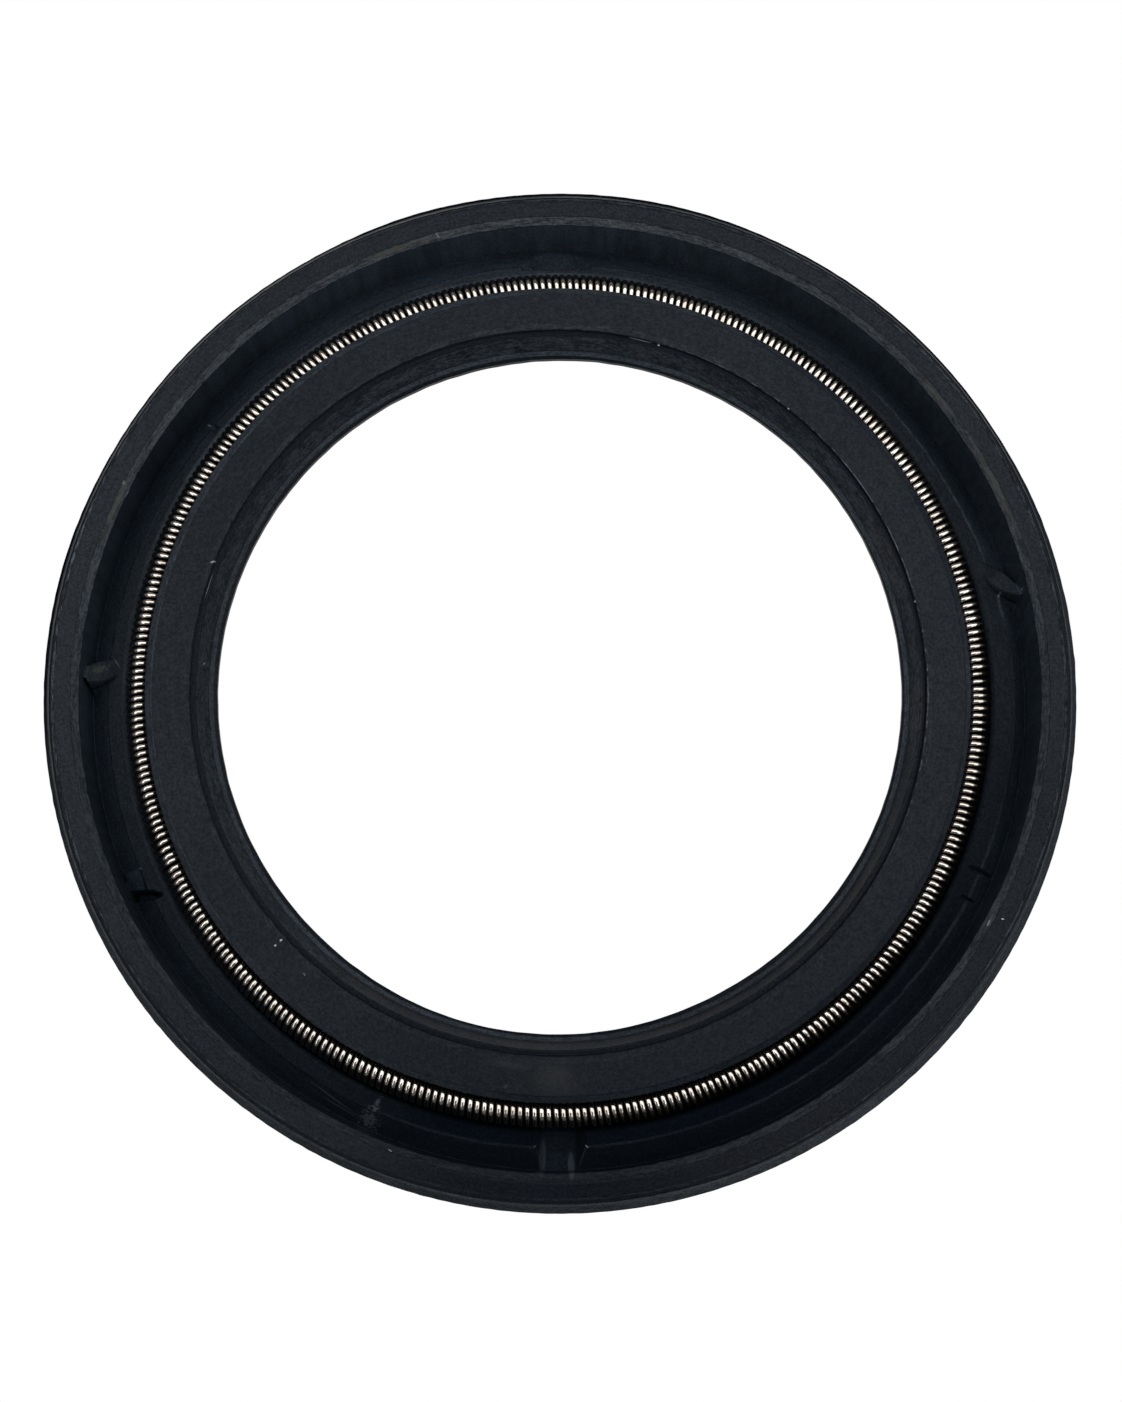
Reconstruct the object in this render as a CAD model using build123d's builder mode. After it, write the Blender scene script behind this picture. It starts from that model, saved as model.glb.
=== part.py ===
from build123d import *
from math import acos, cos, degrees, radians, sin, tan
import os

# Rubber-covered radial shaft seal with one sealing lip and a garter spring, for a 45 mm shaft in a
# 65 mm housing bore. Millimetres. The origin is the centre of the back (air side) face, and +Z is the
# seal's axis, pointing to the spring (oil) side. Each section is drawn as (radius, height).

# ---- Main sizes ----
shaft_diameter = 45.0
radial_room = 10.0  # between the shaft and the housing, so this seal fits a 65 mm bore
seal_width = 8.0

# ---- Outer sleeve and rim ----
front_chamfer_width = 0.7
front_chamfer_depth = 1.2
back_chamfer_width = 0.5
back_chamfer_depth = 1.2
rim_thickness = 2.38  # from the outside to the rim's inner edge
rim_bevel_width = 0.5
rim_bevel_depth = 0.45
rim_bevel_round = 0.2
wall_draft = 2.1  # degrees, so that the mould's core pulls out of the well

# ---- Steel case inside the rubber ----
case_thickness = 0.9
case_bend_radius = 0.3  # on the inside of the bend
outer_cover = 0.85  # rubber between the case and the outside
back_cover = 1.0  # rubber behind the case's flange
front_cover = 1.5  # rubber over the end of the case's sleeve
flange_bore_cover = 0.6  # how far the flange's bore stands back from the hinge's outer face
bond_film = 0.02  # adhesive between steel and rubber

# ---- Well and ledge, over the case's flange ----
well_cover = 1.0  # rubber between the flange and the well's floor
well_floor_width = 0.5
well_round = 0.2
ledge_rise = 1.4  # from the well's floor to the ledge's outer corner
ledge_fall = 0.2  # the ledge slopes outward by this much
ledge_gap = 0.2  # from the spring's outside to the ledge's inner corner
ledge_ramp = 0.6  # width of the slope from the ledge down to the hinge's floor
ledge_inner_round = 0.3
ledge_outer_round = 0.08

# ---- Sealing lip ----
lip_preload = 0.83  # the free lip is this much smaller than the shaft, on the radius
land_height = 0.5  # short cylinder at the sealing edge
land_offset = 0.05  # the land starts this far below the spring's centre
trim_width = 0.26  # trimmed strip in front of the land
trim_height = 0.2
cone_width = 0.77
cone_angle = 33.0  # degrees from the axis, oil side
channel_width = 0.37  # shallow channel between the cone and the lip's face
channel_sag = 0.06  # how far the channel's floor lies below the cone's top
channel_wall = 0.08  # width of the channel's steep outer wall
channel_round = 0.12
lip_setback = 0.42  # the lip's face lies this far behind the rim's face
face_width = 2.5
face_bevel_width = 0.35
face_bevel_depth = 0.25
face_bevel_round = 0.15
air_angle = 35.0  # degrees from the axis, air side

# ---- Hinge between the lip and the flange ----
hinge_thickness = 1.45
hinge_offset = 1.73  # from the sealing edge out to the hinge's inner face
hinge_round = 0.6
jaw_angle = 235.0  # degrees round the spring where its seat ends
jaw_slope = 36.0  # degrees down from the seat's end to the hinge
jaw_round = 0.4
lip_root_round = 0.8  # on the air side, between the lip and the hinge
back_bore_flare = 0.7  # from the hinge's inner face out to the edge of the back bore
back_bore_round = 0.35

# ---- Garter spring ----
coil_diameter = 1.9
spring_depth = 2.45  # from the rim's face to the spring's centre
spring_cover = 0.46  # how far the lip's front edge reaches over the coil
seat_clearance = 0.05

# ---- Notches left in the ledge by the pins that hold the case in the mould ----
# degrees round the axis to the floor's middle, the floor's width, how far it runs in from the ledge's
# outer corner, and how many degrees its two side walls lean, the one at the smaller angle first
support_notches = (
    (13.0, 0.5, 0.4, 10, 45),
    (90.2, 2.2, 0.4, 20, 20),
    (141.9, 0.4, 0.4, 10, 10),
    (177.2, 0.5, 0.55, 38, 10),
    (204.0, 1.5, 0.6, 10, 25),
    (270.0, 2.2, 2.0, 22, 22),
    (333.0, 0.2, 0.5, 5, 5),
    (336.9, 0.35, 0.7, 5, 5),
)

# ---- Worked out from the sizes above ----
shaft_radius = shaft_diameter / 2
outer_radius = shaft_radius + radial_room
lip_radius = shaft_radius - lip_preload
coil_radius = coil_diameter / 2
seat_radius = coil_radius + seat_clearance

flange_top = back_cover + case_thickness
well_height = flange_top + well_cover
ledge_height = well_height + ledge_rise
face_height = seal_width - lip_setback
spring_height = seal_width - spring_depth

rim_inner_radius = outer_radius - rim_thickness
bevel_height = seal_width - rim_bevel_depth
well_outer_radius = rim_inner_radius - (bevel_height - well_height) * tan(radians(wall_draft))

cone_inner_radius = lip_radius + trim_width
cone_outer_radius = cone_inner_radius + cone_width
face_inner_radius = cone_outer_radius + channel_width
face_outer_radius = face_inner_radius + face_width
lip_edge_radius = face_outer_radius + face_bevel_width
ring_radius = lip_edge_radius - spring_cover + coil_radius
spring_outer_radius = ring_radius + coil_radius

ledge_inner_radius = spring_outer_radius + ledge_gap
ledge_outer_radius = (spring_outer_radius + well_outer_radius) / 2

land_bottom = spring_height - land_offset
land_top = land_bottom + land_height
trim_top = land_top + trim_height
cone_top = trim_top + cone_width / tan(radians(cone_angle))

hinge_inner_radius = lip_radius + hinge_offset
hinge_outer_radius = hinge_inner_radius + hinge_thickness
hinge_top = land_bottom - hinge_offset / tan(radians(air_angle))
back_bore_radius = hinge_inner_radius + back_bore_flare

case_outer_radius = outer_radius - outer_cover
case_inner_radius = case_outer_radius - case_thickness
case_bore_radius = hinge_outer_radius + flange_bore_cover
case_top = seal_width - front_cover

seat_start_angle = degrees(acos((lip_edge_radius - ring_radius) / seat_radius))
seat_start_height = spring_height + seat_radius * sin(radians(seat_start_angle))
seat_end_radius = ring_radius + seat_radius * cos(radians(jaw_angle))
seat_end_height = spring_height + seat_radius * sin(radians(jaw_angle))
jaw_height = seat_end_height - (seat_end_radius - hinge_outer_radius) * tan(radians(jaw_slope))
# The two roundings share the hinge's straight outer face, and in a narrow seal they shrink to fit it.
hinge_face = jaw_height - well_height
hinge_fillet = min(hinge_round, hinge_face * hinge_round / (hinge_round + jaw_round))
jaw_fillet = min(jaw_round, hinge_face - hinge_fillet)

# ---- Steel case: a deep-drawn ring with an L-shaped section ----
with BuildSketch(Plane.XZ) as case_section:
    with BuildLine():
        FilletPolyline(
            (case_bore_radius, back_cover),
            (case_outer_radius, back_cover),
            (case_outer_radius, case_top),
            (case_inner_radius, case_top),
            (case_inner_radius, flange_top),
            (case_bore_radius, flange_top),
            radius=(0, case_bend_radius + case_thickness, 0, 0, case_bend_radius, 0),
            close=True,
        )
    make_face()

with BuildPart() as case_insert:
    revolve(case_section.sketch, axis=Axis.Z)

# ---- Garter spring: the coil's outer form, closed into a ring ----
with BuildPart() as garter_spring:
    with BuildSketch(Plane.XZ):
        with Locations((ring_radius, spring_height)):
            Circle(coil_radius)
    revolve(axis=Axis.Z)

# ---- Rubber body: one moulding round the case. Each corner is a radius, a height and a rounding ----
lip_corners = (
    (lip_radius, land_top, 0),
    (cone_inner_radius, trim_top, 0),
    (cone_outer_radius, cone_top, channel_round),
    (face_inner_radius - channel_wall, cone_top - channel_sag, channel_round),
    (face_inner_radius, face_height, 0),
    (face_outer_radius, face_height, face_bevel_round),
    (lip_edge_radius, face_height - face_bevel_depth, face_bevel_round),
)
body_corners = (
    (hinge_outer_radius, jaw_height, jaw_fillet),
    (hinge_outer_radius, well_height, hinge_fillet),
    (ledge_inner_radius - ledge_ramp, well_height, hinge_round),
    (ledge_inner_radius, ledge_height + ledge_fall, ledge_inner_round),
    (ledge_outer_radius, ledge_height, ledge_outer_round),
    (well_outer_radius - well_floor_width, well_height, 0),
    (well_outer_radius, well_height, well_round),
    (rim_inner_radius, bevel_height, 0),
    (rim_inner_radius + rim_bevel_width, seal_width, rim_bevel_round),
    (outer_radius - front_chamfer_width, seal_width, 0),
    (outer_radius, seal_width - front_chamfer_depth, 0),
    (outer_radius, back_chamfer_depth, 0),
    (outer_radius - back_chamfer_width, 0, 0),
    (back_bore_radius, 0, back_bore_round),
    (hinge_inner_radius, hinge_top, lip_root_round),
)

# The pocket in the rubber is the case's own section, larger all round by the adhesive.
with BuildSketch(Plane.XZ) as case_pocket:
    add(case_section.sketch_local)
    offset(amount=bond_film, kind=Kind.INTERSECTION)

with BuildPart() as rubber_body:
    with BuildSketch(Plane.XZ):
        with BuildLine():
            FilletPolyline(
                (lip_radius, land_bottom),
                *[(radius, height) for radius, height, rounding in lip_corners],
                (lip_edge_radius, seat_start_height),
                radius=[rounding for radius, height, rounding in lip_corners],
            )
            CenterArc(
                (ring_radius, spring_height),
                seat_radius,
                seat_start_angle,
                jaw_angle - seat_start_angle,
            )
            FilletPolyline(
                (seat_end_radius, seat_end_height),
                *[(radius, height) for radius, height, rounding in body_corners],
                (lip_radius, land_bottom),
                radius=[rounding for radius, height, rounding in body_corners],
            )
        make_face()
        add(case_pocket.sketch_local, mode=Mode.SUBTRACT)
    revolve(axis=Axis.Z)
    # Each notch ends half-way across the flat part of the well's floor, where the two floors meet.
    notch_end = well_outer_radius - (well_floor_width + well_round) / 2
    notch_height = 2 * ledge_rise
    for angle, floor_width, reach, lean_before, lean_after in support_notches:
        notch_start = ledge_outer_radius - reach
        mouth_start = -floor_width / 2 - notch_height * tan(radians(lean_before))
        mouth_end = floor_width / 2 + notch_height * tan(radians(lean_after))
        with BuildSketch(Plane.YZ.rotated((0, 0, angle)).offset(notch_start)):
            with BuildLine():
                Polyline(
                    (-floor_width / 2, well_height),
                    (floor_width / 2, well_height),
                    (mouth_end, well_height + notch_height),
                    (mouth_start, well_height + notch_height),
                    close=True,
                )
            make_face()
        extrude(amount=notch_end - notch_start, mode=Mode.SUBTRACT)

rubber_body.part.label = "rubber_body"
case_insert.part.label = "case_insert"
garter_spring.part.label = "garter_spring"

os.makedirs("parts", exist_ok=True)
export_step(rubber_body.part, "parts/rubber_body.step")
export_step(case_insert.part, "parts/case_insert.step")
export_step(garter_spring.part, "parts/garter_spring.step")
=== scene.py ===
import math

import bpy
import numpy as np
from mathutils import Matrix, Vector


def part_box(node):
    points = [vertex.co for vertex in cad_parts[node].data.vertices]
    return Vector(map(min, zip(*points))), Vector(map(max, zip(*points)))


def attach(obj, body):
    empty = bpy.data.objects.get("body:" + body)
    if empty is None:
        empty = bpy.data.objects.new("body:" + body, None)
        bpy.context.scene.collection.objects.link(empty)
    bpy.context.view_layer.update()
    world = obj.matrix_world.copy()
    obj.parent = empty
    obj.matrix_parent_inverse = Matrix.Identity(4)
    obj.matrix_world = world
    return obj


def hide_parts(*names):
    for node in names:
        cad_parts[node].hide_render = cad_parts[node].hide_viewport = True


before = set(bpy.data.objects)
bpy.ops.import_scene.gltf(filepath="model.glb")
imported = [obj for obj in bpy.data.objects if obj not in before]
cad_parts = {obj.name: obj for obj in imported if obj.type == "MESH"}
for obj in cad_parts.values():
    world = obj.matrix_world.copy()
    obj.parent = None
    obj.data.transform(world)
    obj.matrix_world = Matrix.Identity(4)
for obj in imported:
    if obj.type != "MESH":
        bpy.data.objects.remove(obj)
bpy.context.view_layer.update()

# Lengths below are millimetres and angles are degrees, counted from +X towards +Y as seen from above.
# A point of a section is (radius, height). Lengths turn into metres where an object, a lamp, the camera
# or a bump is made.
MM = 0.001

# ---- Sizes taken from the frame ----
_, body_high = (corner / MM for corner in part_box("rubber_body"))
spring_low, spring_high = (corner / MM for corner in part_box("garter_spring"))
OUTER_RADIUS = body_high.x
SEAL_WIDTH = body_high.z
COIL_RADIUS = (spring_high.z - spring_low.z) / 2
RING_RADIUS = spring_high.x - COIL_RADIUS
SPRING_HEIGHT = (spring_high.z + spring_low.z) / 2

# ---- Sealing lip, hinge and back ----
LIP_RADIUS = 21.64
LAND_BOTTOM = 5.5
LAND_TOP = 5.98
TRIM_FOOT = (21.77, 6.03)
CONE_FOOT = (22.08, 6.22)
CONE_TOP = (22.70, 7.386)
CHANNEL_FLOOR = (22.99, 7.326)
FACE_HEIGHT = 7.58
FACE_INNER = 23.07
FACE_OUTER = 25.47
LIP_EDGE = (25.88, 7.33)
SEAT_CLEARANCE = 0.05
SEAT_END_ANGLE = 235.0
JAW = (24.85, 4.01)
HINGE_OUTER = 24.85
BACK_BORE = 24.1
LIP_ROOT = (23.40, 3.03)

# ---- Well and ledge ----
WELL_HEIGHT = 2.9
RAMP_FOOT = 26.96
LEDGE_INNER = (27.56, 4.5)
LEDGE_OUTER = (28.655, 4.3)
LEDGE_FLAT_START = (LEDGE_INNER[0] + 0.2, LEDGE_INNER[1] - 0.04)
WELL_INNER = 29.92
WELL_OUTER = 29.95

# ---- Rim and outer sleeve ----
BEVEL_FOOT = (30.12, 7.55)
RIM_INNER = 30.62
RIM_HEIGHT = 7.97
SEAM_INNER = 31.52
SEAM_RISE = 0.06
SEAM_OUTER = 31.70
GAP_RADIUS = 31.79
GAP_DEPTH = 0.07
CHAMFER_TOP = (31.86, 7.90)
CHAMFER_FOOT_HEIGHT = 6.8
BACK_CHAMFER_TOP = 1.2
BACK_CHAMFER_RADIUS = 32.0

# ---- How finely the body is divided: points in a section, and angles round the ring ----
SEAT_POINTS = 7
LEDGE_POINTS = 8
SLOPE_POINTS = 12
LIP_ANGLES = 600
HINGE_ANGLES = 300
RIM_ANGLES = 1080
BACK_ANGLES = 360
# The ledge goes in coarse steps of this many degrees, and in fine ones where a mark is.
LEDGE_STEP = 1.0
LEDGE_MARK_STEP = 0.12
# A rounding takes up at most this share of each side of its corner.
CORNER_SHARE = 0.48

# ---- Marks that the mould's pins left between ledge and wall ----
# Notches: angle, the floor's width and height, reach inward from the ledge's outer corner, and the lean
# of the side walls
NOTCHES = (
    (90.2, 2.2, 3.1, 0.25, 45),
    (141.75, 0.3, 3.9, 0.4, 8),
    (269.75, 2.15, 2.9, 2.0, 22),
)
NOTCH_END_LEAN = 12.0
NOTCH_EDGE_ROUND = 0.08
NOTCH_FLOOR_ROUND = 0.35
# The floor's rounding is at most this share of the floor's width.
NOTCH_FLOOR_SHARE = 0.3
# The degrees on either side that a notch can shape, and how far past its mouth the fine steps go
NOTCH_SECTOR = 12.0
NOTCH_MARGIN = 0.15
# Webs of rubber that stand up from the slope, and slits cut into it. Seen from above, each runs
# straight from an inner end to an outer end, given as (angle, radius, height). It has a half width,
# which shrinks towards its inner end and its outer end as far as the last two numbers say (0 blunt,
# 1 pointed).
WEBS = (
    ((17.4, 28.3, 4.36), (11.3, 30.0, 6.4), 0.56, 1.0, 1.0),
    ((175.8, 28.1, 4.36), (178.1, 30.0, 6.4), 0.66, 0.6, 0.25),
    ((204.35, 28.3, 4.32), (203.65, 29.95, 3.55), 0.72, 0.0, 0.0),
)
SLITS = (
    ((206.85, 28.25, 2.9), (205.35, 29.95, 2.3), 0.22, 1.0, 0.0),
    ((332.75, 28.5, 3.9), (332.9, 29.4, 3.1), 0.05, 0.5, 1.0),
    ((336.55, 28.25, 3.8), (336.75, 29.8, 2.6), 0.09, 0.7, 0.3),
)
# How steep and how round the sides of webs and slits are, and how far past them the fine steps go
SIDE_SLOPE = 12.0
SIDE_ROUND = 0.05
SIDE_MARGIN = 0.4

# ---- How this moulding strays from round: marks of (angle, length added to the radius) ----
LEDGE_STRAY = (
    (0, 0.45),
    (30, -0.05),
    (60, -0.08),
    (90, -0.20),
    (120, -0.28),
    (185, 0.09),
    (225, 0.0),
    (240, 0.05),
    (285, -0.06),
    (315, 0.05),
    (335, 0.33),
)
SEAM_STRAY = (
    (0, 0.08),
    (60, -0.04),
    (120, -0.14),
    (185, -0.02),
    (225, 0.04),
    (240, 0.11),
    (258, 0.14),
    (285, -0.01),
    (315, -0.14),
)
WALL_STRAY = (
    (18, 0.0),
    (32, -0.09),
    (60, -0.07),
    (77, 0.0),
    (104, -0.03),
    (122, -0.18),
    (150, -0.18),
    (168, -0.10),
    (195, -0.10),
    (222, 0.0),
)
EDGE_STRAY = (
    (0, 0.03),
    (45, 0.10),
    (75, 0.0),
    (105, -0.10),
    (150, -0.13),
    (195, -0.09),
    (225, -0.15),
    (255, 0.0),
    (270, -0.04),
    (300, -0.22),
    (315, -0.20),
    (345, -0.02),
)
# The rim's inner edge and its bevel
BEVEL_STRAY = (
    (0, 0.03),
    (45, 0.0),
    (90, -0.08),
    (112, -0.16),
    (135, -0.19),
    (157, -0.15),
    (180, -0.09),
    (225, -0.05),
    (255, -0.04),
    (285, -0.10),
    (312, -0.17),
    (326, -0.10),
    (340, 0.0),
)
# Bumps on the rim's outside and nicks in its bevel: (angle, spread in degrees, height)
RIM_BUMPS = ((9, 1.0, 0.03), (2.7, 0.5, 0.05))
RIM_NICKS = ((104.6, 0.25, 0.1), (248, 0.4, 0.08))
# The outside lies this far inside its nominal radius, which leaves room for its ripples.
WALL_SETBACK = 0.02
# How far each fine wavering spreads from its edge, and from what height it rises on the bevel
FACE_EDGE_SPREAD = 0.05
LAND_SPREAD = 0.2
RIM_EDGE_SPREAD = 0.2
BEVEL_FOOT_SPREAD = 0.1
SEAM_FADE = 0.6
BEVEL_RIPPLE_HEIGHT = 7.5
BEVEL_RIPPLE_RISE = 0.3
# Points of the well within this of its corner move with the wall.
WALL_MARGIN = 0.02
# How many waves a ripple is made of
RIPPLE_WAVES = 14
# The lip's face and the spring sit a little off the rim's centre; the sealing edge was trimmed true.
LIP_SHIFT = Vector((-0.08, 0.04))

# ---- Garter spring ----
TURNS = 375
WIRE_RADIUS = 0.216
STEPS_PER_TURN = 20
WIRE_SIDES = 12
TURN_SEED = 5
SINK_SEED = 6
# How unevenly the turns lie: along the ring, as a share of a turn, and below the coil's outside
TURN_STRAY = 0.03
TURN_SINK = 0.014
# Where turns are crowded or pulled apart: (angle, spread in degrees, stray in turns)
ROUGH_TURNS = (
    (-0.4, 1.0, 0.22),
    (45.0, 1.2, 0.12),
    (120.0, 1.0, 0.06),
    (204.0, 1.5, 0.14),
    (305.0, 1.5, 0.08),
)


# ---- Shapes of sections ----
def arc_corner(before, corner, after, radius, steps):
    """Points of the arc that rounds a corner of a section."""
    here = np.array(corner)
    to_before = np.array(before) - here
    to_after = np.array(after) - here
    length_before = np.linalg.norm(to_before)
    length_after = np.linalg.norm(to_after)
    to_before /= length_before
    to_after /= length_after
    half = math.acos(np.clip(to_before @ to_after, -1, 1)) / 2
    longest = CORNER_SHARE * min(length_before, length_after)
    reach = min(radius / math.tan(half), longest)
    radius = reach * math.tan(half)
    middle = (to_before + to_after) / np.linalg.norm(to_before + to_after)
    centre = here + middle * radius / math.sin(half)
    start = here + to_before * reach - centre
    end = here + to_after * reach - centre
    turn = math.atan2(start[0] * end[1] - start[1] * end[0], start @ end)
    points = []
    for step in range(steps + 1):
        part = turn * step / steps
        spin = np.array(((math.cos(part), -math.sin(part)), (math.sin(part), math.cos(part))))
        points.append(tuple(centre + spin @ start))
    return points


def rounded(corners, before, after):
    """A section line through corners of (radius, height, rounding, steps); a rounding of 0 stays sharp."""
    line = [before, *[corner[:2] for corner in corners], after]
    points = []
    for index, (radius, height, rounding, steps) in enumerate(corners):
        if rounding:
            points += arc_corner(line[index], (radius, height), line[index + 2], rounding, steps)
        else:
            points.append((radius, height))
    return points


def between(first, second, count):
    """Points inside a straight stretch of a section."""
    first, second = np.array(first), np.array(second)
    return [tuple(first + (second - first) * step / (count + 1)) for step in range(1, count + 1)]


def seat_points(count):
    """The round seat that holds the spring, from the lip's edge down to the jaw."""
    seat = COIL_RADIUS + SEAT_CLEARANCE
    start = math.degrees(math.acos((LIP_EDGE[0] - RING_RADIUS) / seat))
    turns = np.radians(np.linspace(start, SEAT_END_ANGLE, count))
    return [(RING_RADIUS + seat * math.cos(turn), SPRING_HEIGHT + seat * math.sin(turn)) for turn in turns]


# ---- Values that change round the ring ----
def ease(part):
    """A share from 0 to 1 that starts and ends gently."""
    part = np.clip(part, 0, 1)
    return part * part * (3 - 2 * part)


def around(angle, marks):
    """A value that runs smoothly round the ring through marks of (angle, value)."""
    places = np.array([place for place, value in marks], dtype=float)
    values = np.array([value for place, value in marks], dtype=float)
    before = (np.searchsorted(places, angle, side="right") - 1) % len(marks)
    after = (before + 1) % len(marks)
    part = (angle - places[before]) % 360 / ((places[after] - places[before]) % 360)
    return values[before] + (values[after] - values[before]) * ease(part)


def ripple(angle, seed, waves, size):
    """Fine unevenness round the ring, made of waves whose number lies near `waves`."""
    random = np.random.default_rng(seed)
    total = np.zeros(len(angle))
    for count in random.integers(waves // 2, waves * 2, RIPPLE_WAVES):
        total += np.sin(count * np.radians(angle) + random.uniform(0, 2 * math.pi))
    return size * total / math.sqrt(RIPPLE_WAVES / 2)


def near(value, middle, spread):
    """1 at a value, falling to 0 on both sides of it."""
    return np.exp(-(((value - middle) / spread) ** 2))


def bulge(angle, middle, spread):
    """1 at an angle of the ring, falling to 0 on both sides of it."""
    return near((angle - middle + 180) % 360 - 180, 0, spread)


def bulges(angle, marks):
    """The sum of bulges at marks of (angle, spread in degrees, height)."""
    return sum(size * bulge(angle, middle, spread) for middle, spread, size in marks)


def even_angles(count):
    return np.arange(count) * 360.0 / count


def ledge_angles(coarse, fine):
    """Angles in coarse steps, with fine steps over each notch, web and slit."""
    spans = []
    for middle, width, floor, _, lean in NOTCHES:
        rise = LEDGE_OUTER[1] - floor
        mouth = width / 2 + rise * math.tan(math.radians(lean))
        half = math.degrees((mouth + NOTCH_MARGIN) / LEDGE_OUTER[0])
        spans.append((middle - half, middle + half))
    for inner, outer, width, *_ in WEBS + SLITS:
        half = math.degrees((width + SIDE_MARGIN) / LEDGE_OUTER[0])
        spans.append((min(inner[0], outer[0]) - half, max(inner[0], outer[0]) + half))
    marks = set(np.round(np.arange(0, 360, coarse), 4))
    for low, high in spans:
        marks |= set(np.round(np.arange(low, high, fine) % 360, 4))
    return np.array(sorted(marks))


def smooth_least(first, second, blend):
    """The smaller of two heights, with a soft corner where they cross."""
    share = np.clip(0.5 + 0.5 * (second - first) / blend, 0, 1)
    return second + (first - second) * share - blend * share * (1 - share)


def smooth_most(first, second, blend):
    """The larger of two heights, with the same soft corner."""
    return -smooth_least(-first, -second, blend)


def cut_notches(radius, height, angle):
    """Lowers the ledge and its slope where the mould's pins stood."""
    for middle, width, floor, reach, lean in NOTCHES:
        turn = np.radians((angle - middle + 180) % 360 - 180)
        across = np.abs(radius * np.sin(turn))
        along = radius * np.cos(turn)
        side = (across - width / 2) / math.tan(math.radians(lean))
        end = (LEDGE_OUTER[0] - reach - along) / math.tan(math.radians(NOTCH_END_LEAN))
        floor_round = min(NOTCH_FLOOR_ROUND, NOTCH_FLOOR_SHARE * width)
        bottom = floor + smooth_most(np.maximum(side, end), 0, floor_round)
        beside = np.abs(turn) < math.radians(NOTCH_SECTOR)
        height = np.where(beside, smooth_least(height, bottom, NOTCH_EDGE_ROUND), height)
    return height


def ridge(radius, angle, inner, outer, half_width, inner_point, outer_point):
    """The height of a web's top or a slit's bottom, and how far each point lies outside its outline.

    The height leaves the inner end level and changes ever faster towards the outer end.
    """
    place = np.stack((radius * np.cos(np.radians(angle)), radius * np.sin(np.radians(angle))))
    start, end = (
        distance * np.array((math.cos(math.radians(turn)), math.sin(math.radians(turn))))
        for turn, distance, _ in (inner, outer)
    )
    length = np.linalg.norm(end - start)
    run = (end - start) / length
    along = run @ (place - start[:, None])
    across = np.abs(run[0] * (place[1] - start[1]) - run[1] * (place[0] - start[0]))
    part = np.clip(along / length, 0, 1)
    taper = (1 - inner_point * (1 - 2 * np.minimum(part, 0.5)) ** 2) * (
        1 - outer_point * (2 * np.maximum(part, 0.5) - 1) ** 2
    )
    beyond = np.maximum(-along, along - length)
    outside = np.maximum(across - half_width * taper, beyond)
    return inner[2] + (outer[2] - inner[2]) * part * part, outside


def add_webs_and_slits(radius, height, angle):
    """Raises the webs and cuts the slits in the slope between ledge and wall."""
    for inner, outer, *shape in WEBS:
        top, outside = ridge(radius, angle, inner, outer, *shape)
        height = smooth_most(height, top - SIDE_SLOPE * np.maximum(outside, 0), SIDE_ROUND)
    for inner, outer, *shape in SLITS:
        bottom, outside = ridge(radius, angle, inner, outer, *shape)
        height = smooth_least(height, bottom + SIDE_SLOPE * np.maximum(outside, 0), SIDE_ROUND)
    return height


# ---- Turning sections into meshes ----
def stitch(faces, first, first_angles, second, second_angles):
    """Joins two closed rings of points, with triangles where they have different angles."""
    count, other = len(first_angles), len(second_angles)
    if count == other and np.allclose(first_angles, second_angles):
        for index in range(count):
            after = (index + 1) % count
            faces.append((first + index, second + index, second + after, first + after))
        return
    ends = np.append(first_angles, first_angles[0] + 360)
    other_ends = np.append(second_angles, second_angles[0] + 360)
    i = j = 0
    while i < count or j < other:
        if j == other or (i < count and ends[i + 1] <= other_ends[j + 1]):
            faces.append((first + i, second + j % other, first + (i + 1) % count))
            i += 1
        else:
            faces.append((first + i % count, second + j, second + (j + 1) % other))
            j += 1


def shade_by_area(mesh):
    """Smooth shading that large faces lead, so that flats stay flat beside narrow roundings."""
    corners = np.empty(len(mesh.loops), dtype=int)
    mesh.loops.foreach_get("vertex_index", corners)
    sizes = np.empty(len(mesh.polygons), dtype=int)
    mesh.polygons.foreach_get("loop_total", sizes)
    areas = np.empty(len(mesh.polygons))
    mesh.polygons.foreach_get("area", areas)
    normals = np.empty(len(mesh.polygons) * 3)
    mesh.polygons.foreach_get("normal", normals)
    weighted = normals.reshape(-1, 3) * areas[:, None]
    total = np.zeros((len(mesh.vertices), 3))
    np.add.at(total, corners, np.repeat(weighted, sizes, axis=0))
    total /= np.maximum(np.linalg.norm(total, axis=1), 1e-30)[:, None]
    mesh.normals_split_custom_set_from_vertices(total)


def make_object(name, points, faces):
    mesh = bpy.data.meshes.new(name)
    mesh.from_pydata([tuple(point) for point in np.asarray(points) * MM], [], faces)
    mesh.validate()
    mesh.shade_smooth()
    shade_by_area(mesh)
    piece = bpy.data.objects.new(name, mesh)
    bpy.context.scene.collection.objects.link(piece)
    return piece


def revolved(name, bands):
    """A closed ring from bands of a section; each band has its own angles and shape function."""
    points, faces, rings = [], [], []
    for section, angles, shape in bands:
        for radius, height in section:
            rings.append((len(points), angles))
            points.extend(shape(np.full(len(angles), radius), np.full(len(angles), height), angles))
    for (first, first_angles), (second, second_angles) in zip(rings, rings[1:] + rings[:1]):
        stitch(faces, first, first_angles, second, second_angles)
    return make_object(name, points, faces)


def placed(radius, height, angle):
    """Points from radii, heights and angles. By itself it shapes a band that is truly round."""
    turn = np.radians(angle)
    return np.stack((radius * np.cos(turn), radius * np.sin(turn), height), axis=1)


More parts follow.
